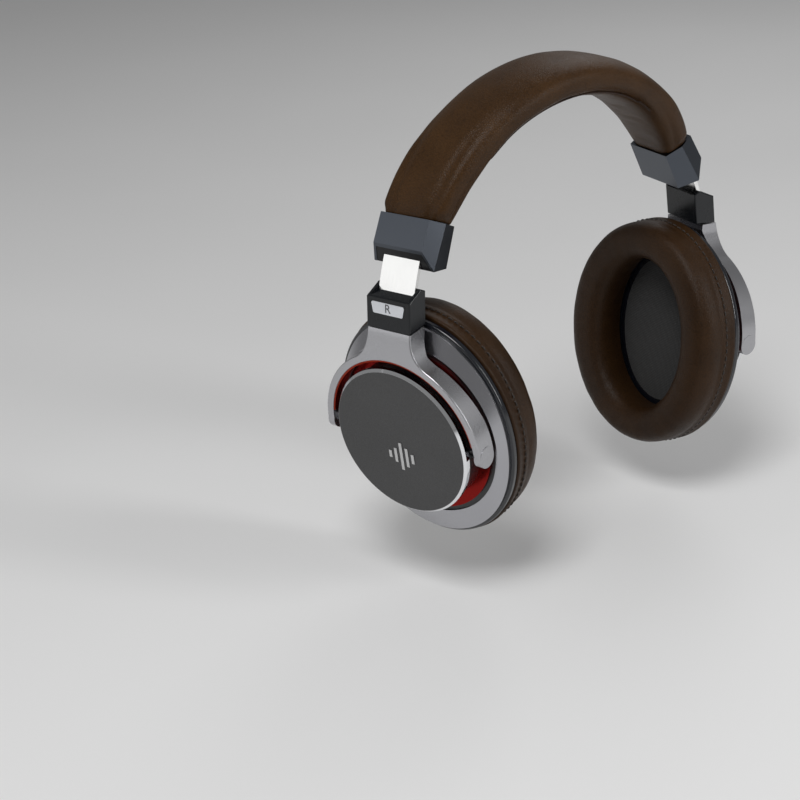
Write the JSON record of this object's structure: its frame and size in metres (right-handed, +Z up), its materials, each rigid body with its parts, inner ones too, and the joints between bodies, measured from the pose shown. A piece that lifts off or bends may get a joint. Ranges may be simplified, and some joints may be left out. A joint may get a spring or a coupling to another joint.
{
  "type": "over ear headphones",
  "caption": "Over-ear headphones: padded leather headband, sliding steel arms, swivelling silver yokes and round-capped oval ear cups with leather pads.",
  "frame": {"origin": "middle of the underside of the headband at the crown, where it rests on a head or a hook", "axes": "+X to the wearer's left, -Y the way the wearer faces, +Z up"},
  "size_m": [0.1736, 0.0847, 0.1738],
  "materials": {
    "brown_leather": "fine grain",
    "foam": "open cell foam",
    "spring_steel": "plain",
    "lead_jacket": "satin",
    "cap_blue_grey": "satin metallic",
    "black_plastic": "matte",
    "strip_steel": "brushed",
    "block_black": "satin gloss",
    "plate_silver": "satin",
    "screw_steel": "plain",
    "yoke_silver": "satin",
    "liner_red": "gloss",
    "disc_gunmetal": "fine brushed",
    "emblem_grey": "satin",
    "drum_grey": "satin",
    "accent_red": "gloss",
    "dish_silver": "satin",
    "magnet_iron": "plated",
    "diaphragm_film": "clear film",
    "grille_black": "matte",
    "ear_cloth": "woven",
    "board_green": "solder mask",
    "jack_black": "matte"
  },
  "bodies": {
    "headband": {"headband_cover": "brown_leather", "headband_foam": "foam", "headband_spring": "spring_steel", "signal_lead": "lead_jacket", "end_cap_right": "cap_blue_grey", "slider_guide_right": "black_plastic", "detent_spring_right": "spring_steel", "end_cap_screws_right": "screw_steel", "end_cap_left": "cap_blue_grey", "slider_guide_left": "black_plastic", "detent_spring_left": "spring_steel", "end_cap_screws_left": "screw_steel"},
    "slider_right": {"slider_strip_right": "strip_steel", "hinge_block_right": "block_black", "side_plate_right": "plate_silver", "hinge_screws_right": "screw_steel"},
    "yoke_body_right": {"yoke_right": "yoke_silver", "yoke_liner_right": "liner_red", "swivel_pin_right": "screw_steel", "swivel_clip_right": "screw_steel", "pivot_pins_right": "screw_steel"},
    "cup_right": {"cup_housing_right": "dish_silver", "back_drum_right": "drum_grey", "accent_ring_right": "accent_red", "outer_cap_right": "disc_gunmetal", "cap_emblem_right": "emblem_grey", "baffle_right": "black_plastic", "driver_frame_right": "black_plastic", "driver_magnet_right": "magnet_iron", "driver_diaphragm_right": "diaphragm_film", "driver_grille_right": "grille_black", "ear_pad_cover_right": "brown_leather", "ear_pad_foam_right": "foam", "ear_cloth_right": "ear_cloth", "baffle_screws_right": "screw_steel"},
    "slider_left": {"slider_strip_left": "strip_steel", "hinge_block_left": "block_black", "side_plate_left": "plate_silver", "hinge_screws_left": "screw_steel"},
    "yoke_body_left": {"yoke_left": "yoke_silver", "yoke_liner_left": "liner_red", "swivel_pin_left": "screw_steel", "swivel_clip_left": "screw_steel", "pivot_pins_left": "screw_steel"},
    "cup_left": {"cup_housing_left": "dish_silver", "back_drum_left": "drum_grey", "accent_ring_left": "accent_red", "outer_cap_left": "disc_gunmetal", "cap_emblem_left": "emblem_grey", "baffle_left": "black_plastic", "driver_frame_left": "black_plastic", "driver_magnet_left": "magnet_iron", "driver_diaphragm_left": "diaphragm_film", "driver_grille_left": "grille_black", "ear_pad_cover_left": "brown_leather", "ear_pad_foam_left": "foam", "ear_cloth_left": "ear_cloth", "baffle_screws_left": "screw_steel", "jack_socket": "jack_black", "jack_board": "board_green"}
  },
  "joints": [
    {"name": "slider_extend_right", "type": "hinge", "parent": "headband", "child": "slider_right", "pos_m": [0.01247, 0.01898, -0.0813], "axis": [0.2011, -0.9796, 0], "range_deg": [-5.4, 10.8]},
    {"name": "cup_swivel_right", "type": "hinge", "parent": "slider_right", "child": "yoke_body_right", "pos_m": [-0.07955, 0.00009, -0.06673], "axis": [-0.1194, -0.0245, 0.9925], "range_deg": [-12, 90]},
    {"name": "cup_tilt_right", "type": "hinge", "parent": "yoke_body_right", "child": "cup_right", "pos_m": [-0.07602, 0.00082, -0.11163], "axis": [0.2011, -0.9796, 0], "range_deg": [-14, 2]},
    {"name": "slider_extend_left", "type": "hinge", "parent": "headband", "child": "slider_left", "pos_m": [-0.01247, 0.01898, -0.0813], "axis": [0.2011, 0.9796, 0], "range_deg": [-5.4, 10.8]},
    {"name": "cup_swivel_left", "type": "hinge", "parent": "slider_left", "child": "yoke_body_left", "pos_m": [0.07955, 0.00009, -0.06673], "axis": [-0.1194, 0.0245, -0.9925], "range_deg": [-3.1, 98.9]},
    {"name": "cup_tilt_left", "type": "hinge", "parent": "yoke_body_left", "child": "cup_left", "pos_m": [0.07606, 0.00111, -0.11163], "axis": [0.0482, 0.9987, 0.0189], "range_deg": [-14, 2]}
  ]
}
